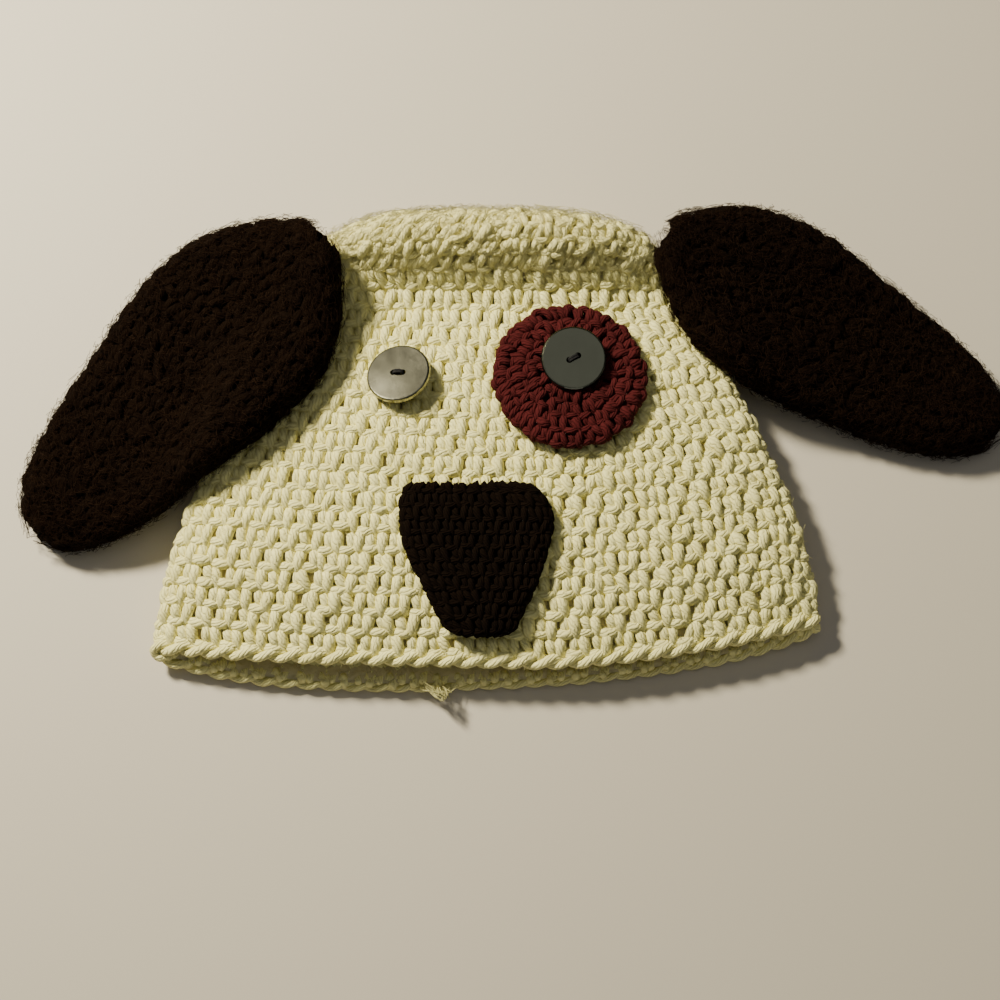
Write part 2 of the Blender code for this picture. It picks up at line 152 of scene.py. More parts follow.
class Cloth:
    """A cloth of stitches, worked in rounds over a grid of points.

    A place on it is a count of rounds, a share of the way round, and a height above it.
    """

    def __init__(self, grid, rounds):
        self.grid, self.rounds = grid, rounds
        self.girth = np.linalg.norm(np.diff(grid, axis=1), axis=2).sum(axis=1)
        down = np.gradient(grid, axis=0)
        wrapped = np.concatenate([grid[:, -2:-1], grid, grid[:, 1:2]], axis=1)
        aside = (wrapped[:, 2:] - wrapped[:, :-2]) / 2
        normal = np.cross(aside, down)
        sizes = np.linalg.norm(normal, axis=2, keepdims=True)
        self.normal = normal / np.maximum(sizes, TINY)
        self.normal[0] = self.normal[1].mean(axis=0)
        self.normal[0] /= np.linalg.norm(self.normal[0, 0])

    def girth_at(self, rounds):
        """The length of the way round the cloth at these rounds."""
        places = np.asarray(rounds) / self.rounds * (len(self.grid) - 1)
        return np.interp(places, np.arange(len(self.grid)), self.girth)

    def at(self, rounds, share, height):
        """The points at these places on the cloth."""
        i = rounds / self.rounds * (len(self.grid) - 1)
        j = (share % 1.0) * (self.grid.shape[1] - 1)
        i0 = np.clip(np.floor(i).astype(int), 0, len(self.grid) - 2)
        j0 = np.clip(np.floor(j).astype(int), 0, self.grid.shape[1] - 2)
        s, t = (i - i0)[..., None], (j - j0)[..., None]

        def between(values):
            upper = values[i0, j0] * (1 - t) + values[i0, j0 + 1] * t
            lower = values[i0 + 1, j0] * (1 - t) + values[i0 + 1, j0 + 1] * t
            return upper * (1 - s) + lower * s

        normal = between(self.normal)
        normal /= np.maximum(np.linalg.norm(normal, axis=-1, keepdims=True), TINY)
        return between(self.grid) + normal * height[..., None]


def crown_cloth():
    """The crown's cloth, with its rounds spaced evenly down the middle of its front."""
    fine = np.linspace(0, len(CROWN_ROWS) - 1, FINE_ROWS)
    sections = smooth_at(CROWN_ROWS, fine)
    front = np.array([crown_loop(s, np.array([math.pi / 2]))[0] for s in sections])
    lengths = length_along(front)
    wanted = np.linspace(0, lengths[-1], CROWN_ROUNDS * LOOKS + 1)
    chosen = smooth_at(CROWN_ROWS, np.interp(wanted, lengths, fine))
    turns = math.pi / 2 + np.linspace(0, math.tau, FINE_TURNS + 1)
    grid = np.array([spaced(crown_loop(s, turns), AROUND_LOOKS) for s in chosen])
    return Cloth(grid, CROWN_ROUNDS + EDGE_ROUND)


def add_mesh(name, verts, faces_of, uv, finish):
    """A smooth mesh from points, equal-sided faces in groups, and a UV for each corner."""
    mesh = bpy.data.meshes.new(name)
    corners = np.concatenate([group.ravel() for group in faces_of])
    sizes = np.concatenate([np.full(len(group), group.shape[1]) for group in faces_of])
    mesh.vertices.add(len(verts))
    mesh.vertices.foreach_set("co", np.ascontiguousarray(verts, dtype=np.float32).ravel())
    mesh.loops.add(len(corners))
    mesh.loops.foreach_set("vertex_index", corners.astype(np.int32))
    mesh.polygons.add(len(sizes))
    starts = np.concatenate([[0], np.cumsum(sizes)[:-1]])
    mesh.polygons.foreach_set("loop_start", starts.astype(np.int32))
    layer = mesh.uv_layers.new(name="yarn")
    layer.data.foreach_set("uv", np.ascontiguousarray(uv, dtype=np.float32).ravel())
    mesh.update(calc_edges=True)
    mesh.validate()
    mesh.shade_smooth()
    mesh.materials.append(finish)
    piece = bpy.data.objects.new(name, mesh)
    bpy.context.scene.collection.objects.link(piece)
    return piece


def add_strands(name, paths, radii, finish, sides=6):
    """One piece of many strands. paths is strand, point, xyz; radii is strand, point."""
    count, points = paths.shape[:2]
    tangent = np.gradient(paths, axis=1)
    tangent /= np.maximum(np.linalg.norm(tangent, axis=2, keepdims=True), TINY)
    ref = np.where(np.abs(tangent[:, 0, 2:3]) > UPRIGHT, [[1.0, 0, 0]], [[0, 0, 1.0]])
    refs = []
    for k in range(points):
        ref = ref - tangent[:, k] * np.sum(ref * tangent[:, k], axis=1, keepdims=True)
        ref = ref / np.maximum(np.linalg.norm(ref, axis=1, keepdims=True), TINY)
        refs.append(ref)
    ref = np.stack(refs, axis=1)[:, :, None]
    other = np.cross(tangent[:, :, None], ref)
    angles = (np.arange(sides) / sides * math.tau)[None, None, :, None]
    wide = np.broadcast_to(radii, (count, points))[:, :, None, None]
    verts = paths[:, :, None] + wide * (np.cos(angles) * ref + np.sin(angles) * other)
    index = np.arange(count * points * sides).reshape(count, points, sides)
    around = np.roll(index, -1, axis=2)
    quads = np.stack([index[:, :-1], around[:, :-1], around[:, 1:], index[:, 1:]], axis=-1)
    caps = np.concatenate([index[:, 0, ::-1], index[:, -1]])
    steps = np.linalg.norm(np.diff(paths, axis=1), axis=2)
    travel = np.concatenate([np.zeros((count, 1)), np.cumsum(steps, axis=1)], axis=1) / MM
    rolled = np.random.default_rng(count).uniform(0, 1, (count, 1, 1))
    u = rolled + np.broadcast_to(np.arange(sides) / sides, (count, points - 1, sides))
    v0 = np.broadcast_to(travel[:, :-1, None], u.shape)
    v1 = np.broadcast_to(travel[:, 1:, None], u.shape)
    quad_u = np.stack([u, u + 1 / sides, u + 1 / sides, u], axis=-1)
    quad_v = np.stack([v0, v0, v1, v1], axis=-1)
    uv = np.concatenate(
        [np.stack([quad_u, quad_v], axis=-1).reshape(-1, 2), np.zeros((caps.size, 2))]
    )
    return add_mesh(name, verts.reshape(-1, 3), [quads.reshape(-1, 4), caps], uv, finish)


# Lines of a stitch: across in stitch widths, along in rounds, height in mm
LEFT_LEG = np.array([
    (-0.30, -0.64, -3.0), (-0.30, -0.47, -0.7), (-0.26, -0.27, 0.0),
    (-0.21, -0.02, -0.4), (-0.12, 0.22, -1.3), (-0.04, 0.44, -2.6),
])
RIGHT_LEG = np.array([
    (0.17, -0.66, -3.0), (0.18, -0.49, -0.6), (0.19, -0.27, 0.2),
    (0.19, 0.02, 0.1), (0.22, 0.30, -0.6), (0.28, 0.54, -2.6),
])
WRAP = np.array([
    (-0.68, 0.12, -2.6), (-0.52, 0.22, -0.5), (-0.29, 0.28, 0.2),
    (-0.05, 0.25, -0.1), (0.14, 0.18, -1.9),
])
STITCH_LINES = ((LEFT_LEG, 1.0), (RIGHT_LEG, 1.1), (WRAP, 0.98))
CREAM_DRIFT = 0.4  # share of a stitch by which each round lies to the right of the last
STRAND_SWELL = ((0, 0.15, 0.4, 0.85, 1), (0.8, 1.05, 1.08, 0.96, 0.75))  # width along it
UNEVEN_PLACE = (0.5, 0.6, 3.0)  # of a strand across, along and in height, times its wobble
UNEVEN_WIDTH, UNEVEN_LEAN = 0.7, 2  # of its width and its lean, times its wobble
STRAND_SHARE = 1.9  # a strand is no wider than its stitch's width over this
CLOTH_START = 0.05  # in rounds: strands stop this short of the point where a cloth begins
PRESSED = 0.95  # least height of a strand's middle above the table, as a share of its radius
BACK_SHARE = 0.44  # share of a round that lies underneath, where strands have fewer points


def stitches(
    cloth, first, last, counts, yarn, drift, seed, under, points=8, wobble=0.08, relief=1.0,
    sink=0.0, slant=0.0,
):
    """Paths and radii of the strands of the stitches in these rounds, above or underneath."""
    random = np.random.default_rng(seed)
    paths, radii = [], []
    swell_along = np.interp(np.linspace(0, 1, points), *STRAND_SWELL)
    for number in range(first, last):
        count = counts[number]
        pitch = cloth.girth_at(number + 0.5) / count
        base = (np.arange(count) - drift * number) / count
        kept = (np.abs(base % 1.0 - 0.5) < BACK_SHARE / 2) == under
        for line, width in STITCH_LINES:
            fine = smooth_at(line, np.linspace(0, len(line) - 1, points))[None]
            shift = random.normal(0, wobble, (count, 1, 3)) * UNEVEN_PLACE
            swell = 1 + random.normal(0, UNEVEN_WIDTH * wobble, (count, 1))
            lean = random.normal(-slant, UNEVEN_LEAN * wobble, (count, 1))
            fine = fine + shift
            height = fine[..., 2] * MM * relief * yarn / CROWN_YARN - sink
            share = base[:, None] - (fine[..., 0] + lean * fine[..., 1]) / count
            rounds = number + 0.5 + fine[..., 1]
            radius = np.minimum(yarn, pitch / STRAND_SHARE) / 2 * width * swell * swell_along
            path = cloth.at(np.maximum(rounds, CLOTH_START), share, height)
            path[..., 2] = np.maximum(path[..., 2], PRESSED * radius)
            paths.append(path[kept])
            radii.append(radius[kept])
    return np.concatenate(paths), np.concatenate(radii)


def new_socket(group, name, kind, way, value=None):
    socket = group.interface.new_socket(name=name, in_out=way, socket_type=kind)
    if value is not None:
        socket.default_value = value


FIBRE_SCALE, WAVER_SCALE = 2600, 450  # of the noise that makes its fibres and its uneven twist
WAVER = 1.6  # ply widths by which the twist wavers
PLY_ROUNDNESS = 0.6
RIDGES = 7  # of plies round a strand


def yarn_plies():
    """Group: the plies twisted together in a yarn, as a height and a mask of their grooves."""
    group = bpy.data.node_groups.new("yarn_plies", "ShaderNodeTree")
    new_socket(group, "Plies", "NodeSocketFloat", "INPUT", 3.0)
    new_socket(group, "Twist Length", "NodeSocketFloat", "INPUT", 9.0)
    new_socket(group, "Fibre", "NodeSocketFloat", "INPUT", 0.35)
    new_socket(group, "Height", "NodeSocketFloat", "OUTPUT")
    new_socket(group, "Groove", "NodeSocketFloat", "OUTPUT")
    nodes, links = group.nodes, group.links
    given, out = nodes.new("NodeGroupInput"), nodes.new("NodeGroupOutput")
    uv = nodes.new("ShaderNodeUVMap")
    uv.uv_map = "yarn"
    parts = nodes.new("ShaderNodeSeparateXYZ")
    links.new(uv.outputs["UV"], parts.inputs[0])
    place_of = nodes.new("ShaderNodeTexCoord")

    def calc(operation, a, b=None):
        node = nodes.new("ShaderNodeMath")
        node.operation = operation
        for socket, value in zip(node.inputs, (a, b)):
            if isinstance(value, (int, float)):
                socket.default_value = value
            elif value is not None:
                links.new(value, socket)
        return node.outputs[0]

    def noise(scale, detail):
        node = nodes.new("ShaderNodeTexNoise")
        node.inputs["Scale"].default_value = scale
        node.inputs["Detail"].default_value = detail
        links.new(place_of.outputs["Object"], node.inputs["Vector"])
        return node

    fibre, waver = noise(FIBRE_SCALE, 3), noise(WAVER_SCALE, 1)
    turns = calc("DIVIDE", parts.outputs["Y"], given.outputs["Twist Length"])
    place = calc("MULTIPLY", calc("ADD", parts.outputs["X"], turns), given.outputs["Plies"])
    place = calc("ADD", place, calc("MULTIPLY", waver.outputs["Fac"], WAVER))
    ply = calc("ABSOLUTE", calc("SINE", calc("MULTIPLY", place, math.pi)))
    rough = calc("MULTIPLY", fibre.outputs["Fac"], given.outputs["Fibre"])
    links.new(calc("ADD", calc("POWER", ply, PLY_ROUNDNESS), rough), out.inputs["Height"])
    links.new(calc("SUBTRACT", 1.0, ply), out.inputs["Groove"])
    return group


plies = yarn_plies()


def yarn_finish(
    name, light, dark, roughness, sheen, shine=0.2, depth=0.36 * MM, twist=14.0, fibre=0.6,
    grooves=0.32,
):
    """A twisted yarn: its colour is darkened in the grooves between its plies as painted shade,
    and in slow uneven patches of darker tone.
    """
    finish = bpy.data.materials.new(name)
    finish.use_nodes = True
    nodes, links = finish.node_tree.nodes, finish.node_tree.links
    shader = nodes["Principled BSDF"]
    shader.inputs["Roughness"].default_value = roughness
    shader.inputs["Sheen Weight"].default_value = sheen
    shader.inputs["Sheen Roughness"].default_value = 0.5
    shader.inputs["Specular IOR Level"].default_value = shine
    ply = nodes.new("ShaderNodeGroup")
    ply.node_tree = plies
    ply.inputs["Twist Length"].default_value = twist
    ply.inputs["Plies"].default_value = RIDGES
    ply.inputs["Fibre"].default_value = fibre
    uneven = nodes.new("ShaderNodeTexNoise")
    uneven.inputs["Scale"].default_value = 160
    uneven.inputs["Detail"].default_value = 4
    place = nodes.new("ShaderNodeTexCoord")
    links.new(place.outputs["Object"], uneven.inputs["Vector"])
    # Painted shade: the groove mask darkens the colour toward the dark one in the grooves between
    # plies, and grooves sets how much.
    shade = nodes.new("ShaderNodeMath")
    shade.operation = "MULTIPLY_ADD"
    links.new(ply.outputs["Groove"], shade.inputs[0])
    shade.inputs[1].default_value = grooves
    spread = nodes.new("ShaderNodeMapRange")
    spread.inputs["From Min"].default_value = 0.35
    spread.inputs["From Max"].default_value = 0.75
    spread.inputs["To Max"].default_value = 0.4
    links.new(uneven.outputs["Fac"], spread.inputs["Value"])
    links.new(spread.outputs[0], shade.inputs[2])
    mix = nodes.new("ShaderNodeMix")
    mix.data_type = "RGBA"
    mix.inputs["A"].default_value = (*light, 1)
    mix.inputs["B"].default_value = (*dark, 1)
    links.new(shade.outputs[0], mix.inputs["Factor"])
    links.new(mix.outputs["Result"], shader.inputs["Base Color"])
    bump = nodes.new("ShaderNodeBump")
    bump.inputs["Distance"].default_value = depth
    bump.inputs["Strength"].default_value = 0.8
    links.new(ply.outputs["Height"], bump.inputs["Height"])
    links.new(bump.outputs["Normal"], shader.inputs["Normal"])
    return finish


cream = yarn_finish("cream_yarn", (0.92, 0.875, 0.40), (0.62, 0.56, 0.21), 0.85, 0.08)
crown = crown_cloth()
crown_counts = [
    max(6, min(CROWN_STITCHES, round(float(crown.girth_at(n + 0.5)) / CREAM_PITCH)))
    for n in range(CROWN_ROUNDS)
]
CROWN_GROUND_DEPTH = 3.3 * MM
CROWN_GROUND_SHORT = 4  # sections of the cloth by which its ground stops short of the rim
GROUND_THICKNESS = 0.8 * MM
GROUND_STEP = 4  # only each fourth point of a cloth is used for its ground


def add_ground(name, cloth, depth, finish, thickness=0.0, closed=False, short=0):
    """The inner face of a cloth, which shows dark between its stitches."""
    kept = slice(None, len(cloth.grid) - short, GROUND_STEP)
    grid = (cloth.grid - cloth.normal * depth)[kept, ::GROUND_STEP]
    grid[..., 2] = np.maximum(grid[..., 2], GROUND_THICKNESS)
    rows, around = grid.shape[0], grid.shape[1] - 1
    index = np.arange(rows * around).reshape(rows, around)
    following = np.roll(index, -1, axis=1)
    quads = np.stack([index[:-1], index[1:], following[1:], following[:-1]], axis=-1)
    groups = [quads.reshape(-1, 4)]
    if closed:
        groups.append(np.stack([index[0], index[-1, ::-1]]))
    corners = sum(group.size for group in groups)
    piece = add_mesh(name, grid[:, :-1].reshape(-1, 3), groups, np.zeros((corners, 2)), finish)
    if thickness:
        solid = piece.modifiers.new("thickness", "SOLIDIFY")
        solid.thickness = thickness
        solid.offset = 0
    return piece


def settle(piece, slot, *nodes):
    """Let a piece ride on the hat, and hide the CAD nodes that it replaces. Its slot is not used.
    """
    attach(piece, "root")
    if nodes:
        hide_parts(*nodes)


# Painted shade: the crown's inner face is the same cream yarn, coloured darker so that it reads as
# shade between the stitches.
shaded_ground_finish = yarn_finish("shaded_cream_ground", (0.66, 0.59, 0.32), (0.44, 0.38, 0.19), 0.95, 0.1)
crown_ground = add_ground(
    "crown_ground", crown, CROWN_GROUND_DEPTH, shaded_ground_finish, thickness=GROUND_THICKNESS,
    short=CROWN_GROUND_SHORT,
)
settle(crown_ground, "cream_yarn", "crown")
FRONT_SPLIT = 16  # the round at which the front is divided into two pieces
crown_pieces = []
for name, under, first, last in (
    ("crown_front_1", False, CLOSE_ROUNDS, FRONT_SPLIT),
    ("crown_front_2", False, FRONT_SPLIT, CROWN_ROUNDS),
    ("crown_back", True, CLOSE_ROUNDS, CROWN_ROUNDS),
):
    paths, radii = stitches(
        crown, first, last, crown_counts, CROWN_YARN, CREAM_DRIFT, seed=first, under=under,
        points=5 if under else 8, sink=CROWN_SINK,
    )
    crown_pieces.append(add_strands(name, paths, radii, cream, sides=5 if under else 6))
    settle(crown_pieces[-1], "cream_yarn")

# The crown's end is worked closer than the rest and its yarn is felted by wear. Its stitches
# are uneven and lean to the right.
CLOSE_YARN = 3.1 * MM
CLOSE_PITCH = 5.0 * MM
CLOSE_RELIEF = 0.85  # height of its stitches, against the crown's
CLOSE_WOBBLE = 0.17
CLOSE_SLANT = 0.7  # in stitch widths over a round, by which the stitches lean
CLOSE_WORKED = 7  # rounds worked in the place of the first CLOSE_ROUNDS
felted = yarn_finish(
    "felted_cream", (0.80, 0.75, 0.34), (0.56, 0.50, 0.20), 0.9, 0.1, depth=0.2 * MM, grooves=0.15
)
crown_end = Cloth(crown.grid[: CLOSE_ROUNDS * LOOKS], CLOSE_WORKED)
close_counts = [
    max(6, round(float(crown_end.girth_at(n + 0.5)) / CLOSE_PITCH)) for n in range(CLOSE_WORKED)
]
for name, under in (("crown_end_front", False), ("crown_end_back", True)):
    paths, radii = stitches(
        crown_end, 0, CLOSE_WORKED, close_counts, CLOSE_YARN, CREAM_DRIFT, seed=7, under=under,
        points=5 if under else 7, wobble=CLOSE_WOBBLE, relief=CLOSE_RELIEF, sink=CROWN_SINK,
        slant=CLOSE_SLANT,
    )
    crown_pieces.append(add_strands(name, paths, radii, felted, sides=5 if under else 6))
    settle(crown_pieces[-1], "cream_yarn")

# The rim: the last round is bound off in slip stitches, whose slanted strands lie over the edge
# like the two strands of a rope. A frayed end of yarn comes out below the middle.
RIM_YARN = 3.0 * MM
RIM_STEPS = 9  # points to a stitch
RIM_OUT, RIM_ROPE = 0.05, 0.2  # in rounds: the rope's middle past the last, and its radius
RIM_DEEP, RIM_RISE = 1.4 * MM, 1.2 * MM  # the rope's middle below the cloth, and half its height
RIM_UNDER = 0.72  # size of the rope underneath, where the hat's weight presses it, to the rest
RIM_UNDER_SPREAD = 1.2  # how soon the rope comes to this size
RIM_UNEVEN = 0.07  # of its stitches' width
random = np.random.default_rng(11)
worked = np.arange(CROWN_STITCHES * RIM_STEPS + 1) / RIM_STEPS
twist = math.pi * (worked[None] + np.array([[0], [1]]))
share = np.broadcast_to(worked / CROWN_STITCHES, twist.shape)
size = 1 - (1 - RIM_UNDER) * np.clip(RIM_UNDER_SPREAD * np.cos(math.tau * share), 0, 1)
paths = crown.at(
    CROWN_ROUNDS + RIM_OUT - RIM_ROPE * size * np.cos(twist),
    0.5 + share,
    RIM_RISE * size * np.sin(twist) - RIM_DEEP,
)
paths[..., 2] = np.maximum(paths[..., 2], PRESSED * RIM_YARN / 2 * size)
stitch_sizes = random.normal(1, RIM_UNEVEN, CROWN_STITCHES + 1)
uneven = np.interp(worked, np.arange(CROWN_STITCHES + 1), stitch_sizes)
radii = RIM_YARN / 2 * size * np.stack([uneven, uneven[::-1]])
rim = add_strands("rim_strands", paths, radii, cream)
settle(rim, "cream_yarn")

FRAY_ROOT, FRAY_TIP = np.array((-15, -74, 3)) * MM, np.array((-13, -78, 7.5)) * MM
FRAY_ROOT_SPREAD, FRAY_TIP_SPREAD = np.array((3, 0.6, 0.8)) * MM, np.array((1, 0.8, 0.9)) * MM
FRAY_STRANDS, FRAY_POINTS, FRAY_RADIUS = 30, 7, 0.15 * MM
FRAY_CURL, FRAY_TURNS = 0.5 * MM, 5
reach = np.linspace(0, 1, FRAY_POINTS)[None, :, None]
start, end = (
    place + random.normal(0, 1, (FRAY_STRANDS, 1, 3)) * spread
    for place, spread in ((FRAY_ROOT, FRAY_ROOT_SPREAD), (FRAY_TIP, FRAY_TIP_SPREAD))
)
curl = random.uniform(0, math.tau, (FRAY_STRANDS, 1, 3))
paths = start + (end - start) * reach + FRAY_CURL * np.sin(curl + FRAY_TURNS * reach)
fray = add_strands("frayed_end", paths, FRAY_RADIUS * np.ones((FRAY_STRANDS, 1)), cream, sides=4)
settle(fray, "cream_yarn")

# The fuzz: loose fibres of the cream yarn, which wear pulls out of the plies. They stand all
# over the crown's front, and closest on its end, where the yarn is felted.
HAIRY_SHARE = 0.31  # of the way round, to either side of the middle of the upper face
HAIR_MARGIN = 0.1  # in rounds: no hair grows nearer to the ends of a cloth
HAIR_OVER = 0.3  # in rounds, by which a hair may pass the last one
HAIR_GIRTH = 20 * MM  # least girth, so that hairs don't spread too wide where a cloth is narrow
HAIR_LOW = 0.1 * MM  # least height above the surface that the hat lies on
FUZZ_WIDTH = 0.11 * MM
FUZZ_ROOT = -0.4 * MM  # height of its roots, against the face of the cloth


def hairs(cloth, count, seed, height, length, curl, points, stand=1.0, last=None, turns=7):
    """Paths of loose curled fibres that stand out of a cloth's yarn, or lie along it."""
    random = np.random.default_rng(seed)
    start = random.uniform(HAIR_MARGIN, last or cloth.rounds - HAIR_MARGIN, (count, 1))
    share = random.uniform(-HAIRY_SHARE, HAIRY_SHARE, (count, 1))
    size = length * random.uniform(0.3, 1.0, (count, 1))
    phase = random.uniform(0, math.tau, (count, 2))
    lean = random.normal(0, 1 - 0.4 * stand, (count, 2))
    reach = np.linspace(0, 1, points)[None, :]
    aside, along = (
        size * (lean[:, k : k + 1] * reach + curl * np.sin(phase[:, k : k + 1] + turns * reach))
        for k in (0, 1)
    )
    row = length_along(cloth.grid[:, 0])[-1] / cloth.rounds
    girth = np.maximum(cloth.girth_at(start), HAIR_GIRTH)
    rounds = np.clip(start + along / row, 0, cloth.rounds + HAIR_OVER)
    paths = cloth.at(rounds, share + aside / girth, height + stand * size * reach)
    paths[..., 2] = np.maximum(paths[..., 2], HAIR_LOW)
    return paths


sparse = hairs(crown, count=1200, seed=21, height=FUZZ_ROOT, length=2.4 * MM, curl=0.3, points=4)
felt = hairs(
    crown, count=4200, seed=22, height=FUZZ_ROOT, length=3 * MM, curl=0.3, points=4, stand=0.8,
    last=CLOSE_ROUNDS + 0.5,
)
paths = np.concatenate([sparse, felt])
crown_fuzz = add_strands(
    "crown_fuzz", paths, FUZZ_WIDTH / 2 * np.ones((len(paths), 1)), cream, sides=3
)
settle(crown_fuzz, "cream_yarn")

# The ears: thick, soft, dark brown yarn, crocheted in rounds round a flat lining and sewn to
# the crown's corners. The yarn is hairy, so curled fibres stand out all over them.
EAR_YARN = 3.3 * MM
EAR_PITCH = 5.8 * MM
EAR_ROUND = 6.0 * MM
EAR_RELIEF = 0.4  # height of its stitches, which are felted, against the crown's
EAR_SINK = 1.3 * MM  # of the strands' middles into the pad, so that its outline keeps its size
EAR_GROUND_DEPTH = 1.6 * MM
EAR_LOFT = 1.5 * MM  # by which the hairy upper face stands above the solid's
EAR_DRIFT = 0.3
EAR_WOBBLE = 0.16
EAR_HAIR_LENGTH, EAR_HAIR_WIDTH = 4 * MM, 0.13 * MM
# Each ear's root, the way that it points, and its length
LEFT_EAR = (Vector((-50.5 * MM, 65.8 * MM)), math.radians(-134.5), 131 * MM)
RIGHT_EAR = (Vector((54 * MM, 67 * MM)), math.radians(-29), 126 * MM)
PAD_END = 2.0 * MM  # from a pad's root and its tip to the first and last section
PAD_SECTIONS = 96
PAD_AROUND = 160  # points round each section
PAD_FEELS = 24  # places across a section at which the pad's two faces are felt
FEEL_STEP = 0.25 * MM  # by which its edges are felt for


def faces_of_node(name):
    """A function that gives the heights of a CAD node's upper and lower face at x and y."""
    tree = BVHTree.FromObject(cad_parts[name], bpy.context.evaluated_depsgraph_get())

    def heights(x, y):
        top = tree.ray_cast(Vector((x, y, 1)), Vector((0, 0, -1)))[0]
        bottom = tree.ray_cast(Vector((x, y, -1)), Vector((0, 0, 1)))[0]
        return (top.z, bottom.z) if top and bottom else None

    return heights


def pad_cloth(name, root, angle, length, rounds, loft=0.0):
    """The cloth round a pad, in sections across it from its root to its tip."""
    heights = faces_of_node(name)
    ahead = Vector((math.cos(angle), math.sin(angle)))
    aside = Vector((ahead.y, -ahead.x))
    sections = []
    for along in np.linspace(PAD_END, length - PAD_END, PAD_SECTIONS):
        middle = root + ahead * along
        edges = []
        for way in (1, -1):
            reach = 0.0
            while heights(*(middle + aside * (way * (reach + FEEL_STEP)))):
                reach += FEEL_STEP
            edges.append(way * reach)
        centre, half = (edges[0] + edges[1]) / 2, (edges[0] - edges[1]) / 2
        turns = np.linspace(0, math.pi, PAD_FEELS)
        places = [middle + aside * (centre + half * math.cos(turn)) for turn in turns]
        felt = [heights(*place) for place in places]
        kept = [(place, pair) for place, pair in zip(places, felt) if pair]
        upper = [(*place, pair[0] + loft) for place, pair in kept]
        lower = [(*place, pair[1]) for place, pair in kept]
        turn_at = len(upper) // 2
        loop = upper[turn_at::-1] + lower + upper[:turn_at - 1 : -1]
        sections.append(spaced(np.array(loop), PAD_AROUND))
    return Cloth(np.array(sections), rounds)


brown = yarn_finish(
    "brown_yarn", (0.0070, 0.0031, 0.0013), (0.0025, 0.0012, 0.0006), 0.95, 0.0, 0.05, fibre=1.6
)
# The ears' loose fibres are a lighter brown than their yarn. This is partly the fibres' own tone
# and partly a painted highlight where they catch the lamp at the edges.
brown_hair_and_highlight = yarn_finish("brown_hair_and_highlight", (0.040, 0.019, 0.009), (0.016, 0.008, 0.004), 0.9, 0.0, 0.1)
for name, place in (("ear_left", LEFT_EAR), ("ear_right", RIGHT_EAR)):
    root, angle, length = place
    rounds = round(length / EAR_ROUND)
    ear = pad_cloth(name, root, angle, length, rounds, EAR_LOFT)
    counts = [max(5, round(float(ear.girth_at(n + 0.5)) / EAR_PITCH)) for n in range(rounds)]
    ground = add_ground(f"{name}_lining", ear, EAR_GROUND_DEPTH, brown, closed=True)
    settle(ground, "brown_yarn", name)
    for face, under in (("upper", False), ("under", True)):
        paths, radii = stitches(
            ear, 0, rounds, counts, EAR_YARN, EAR_DRIFT, seed=len(name), under=under,
            points=4 if under else 6, wobble=EAR_WOBBLE, relief=EAR_RELIEF, sink=EAR_SINK,
        )
        worked = add_strands(f"{name}_{face}", paths, radii, brown, sides=4 if under else 5)
        settle(worked, "brown_yarn")
    nap = hairs(
        ear, count=2800, seed=30 + len(name), height=0.4 * MM, length=EAR_HAIR_LENGTH, curl=0.15,
        points=4, stand=0.12,
    )
    halo = hairs(
        ear, count=3000, seed=40 + len(name), height=-0.2 * MM, length=EAR_HAIR_LENGTH, curl=0.3,
        points=6, stand=0.65, turns=9,
    )
    for kind, paths in (("nap", nap), ("halo", halo)):
        radii = EAR_HAIR_WIDTH / 2 * np.ones((len(paths), 1))
        hair = add_strands(f"{name}_{kind}", paths, radii, brown_hair_and_highlight, sides=3)
        settle(hair, "brown_yarn")

# The eye patch: a round of burgundy worsted yarn, worked in a spiral from its middle and sewn
# round its edge.
PATCH_PLACE = Vector((25.5 * MM, 19.5 * MM))
PATCH_RADIUS = 24.5 * MM
PATCH_ROUNDS = 5
PATCH_GROWTH = 6  # stitches in the first round, and by which each round grows
PATCH_YARN = 2.7 * MM
PATCH_DRIFT = 0.45
PATCH_WOBBLE = 0.15
PATCH_SINK = 0.5 * MM
PATCH_GROUND_DEPTH = 2.2 * MM
# Shares of its radius at which its upper face is felt, closer at its rounded edge
PATCH_RINGS = np.concatenate([np.linspace(0.03, 0.96, 60), [0.975, 0.99]])


def patch_cloth():
    """The cloth over the patch's upper face, in rings from its middle to its edge."""
    heights = faces_of_node("eye_patch")
    rings = []
    for share in PATCH_RINGS:
        ring = []
        for turn in np.linspace(0, -math.tau, PAD_AROUND + 1):
            x = PATCH_PLACE.x + PATCH_RADIUS * share * math.cos(turn)
            y = PATCH_PLACE.y + PATCH_RADIUS * share * math.sin(turn)
            ring.append((x, y, heights(x, y)[0]))
        rings.append(ring)
    return Cloth(np.array(rings), PATCH_ROUNDS)


burgundy = yarn_finish(
    "burgundy_yarn", (0.070, 0.009, 0.010), (0.018, 0.0012, 0.0015), 0.9, 0.0, 0.12
)
patch = patch_cloth()
patch_counts = [PATCH_GROWTH * (n + 1) for n in range(PATCH_ROUNDS)]
patch_ground = add_ground("eye_patch_ground", patch, PATCH_GROUND_DEPTH, burgundy)
settle(patch_ground, "burgundy_yarn", "eye_patch")
for part, far_side in (("a", False), ("b", True)):
    paths, radii = stitches(
        patch, 0, PATCH_ROUNDS, patch_counts, PATCH_YARN, PATCH_DRIFT, seed=5, under=far_side,
        points=9, wobble=PATCH_WOBBLE, sink=PATCH_SINK,
    )
    worked = add_strands(f"eye_patch_rounds_{part}", paths, radii, burgundy)
    settle(worked, "burgundy_yarn")

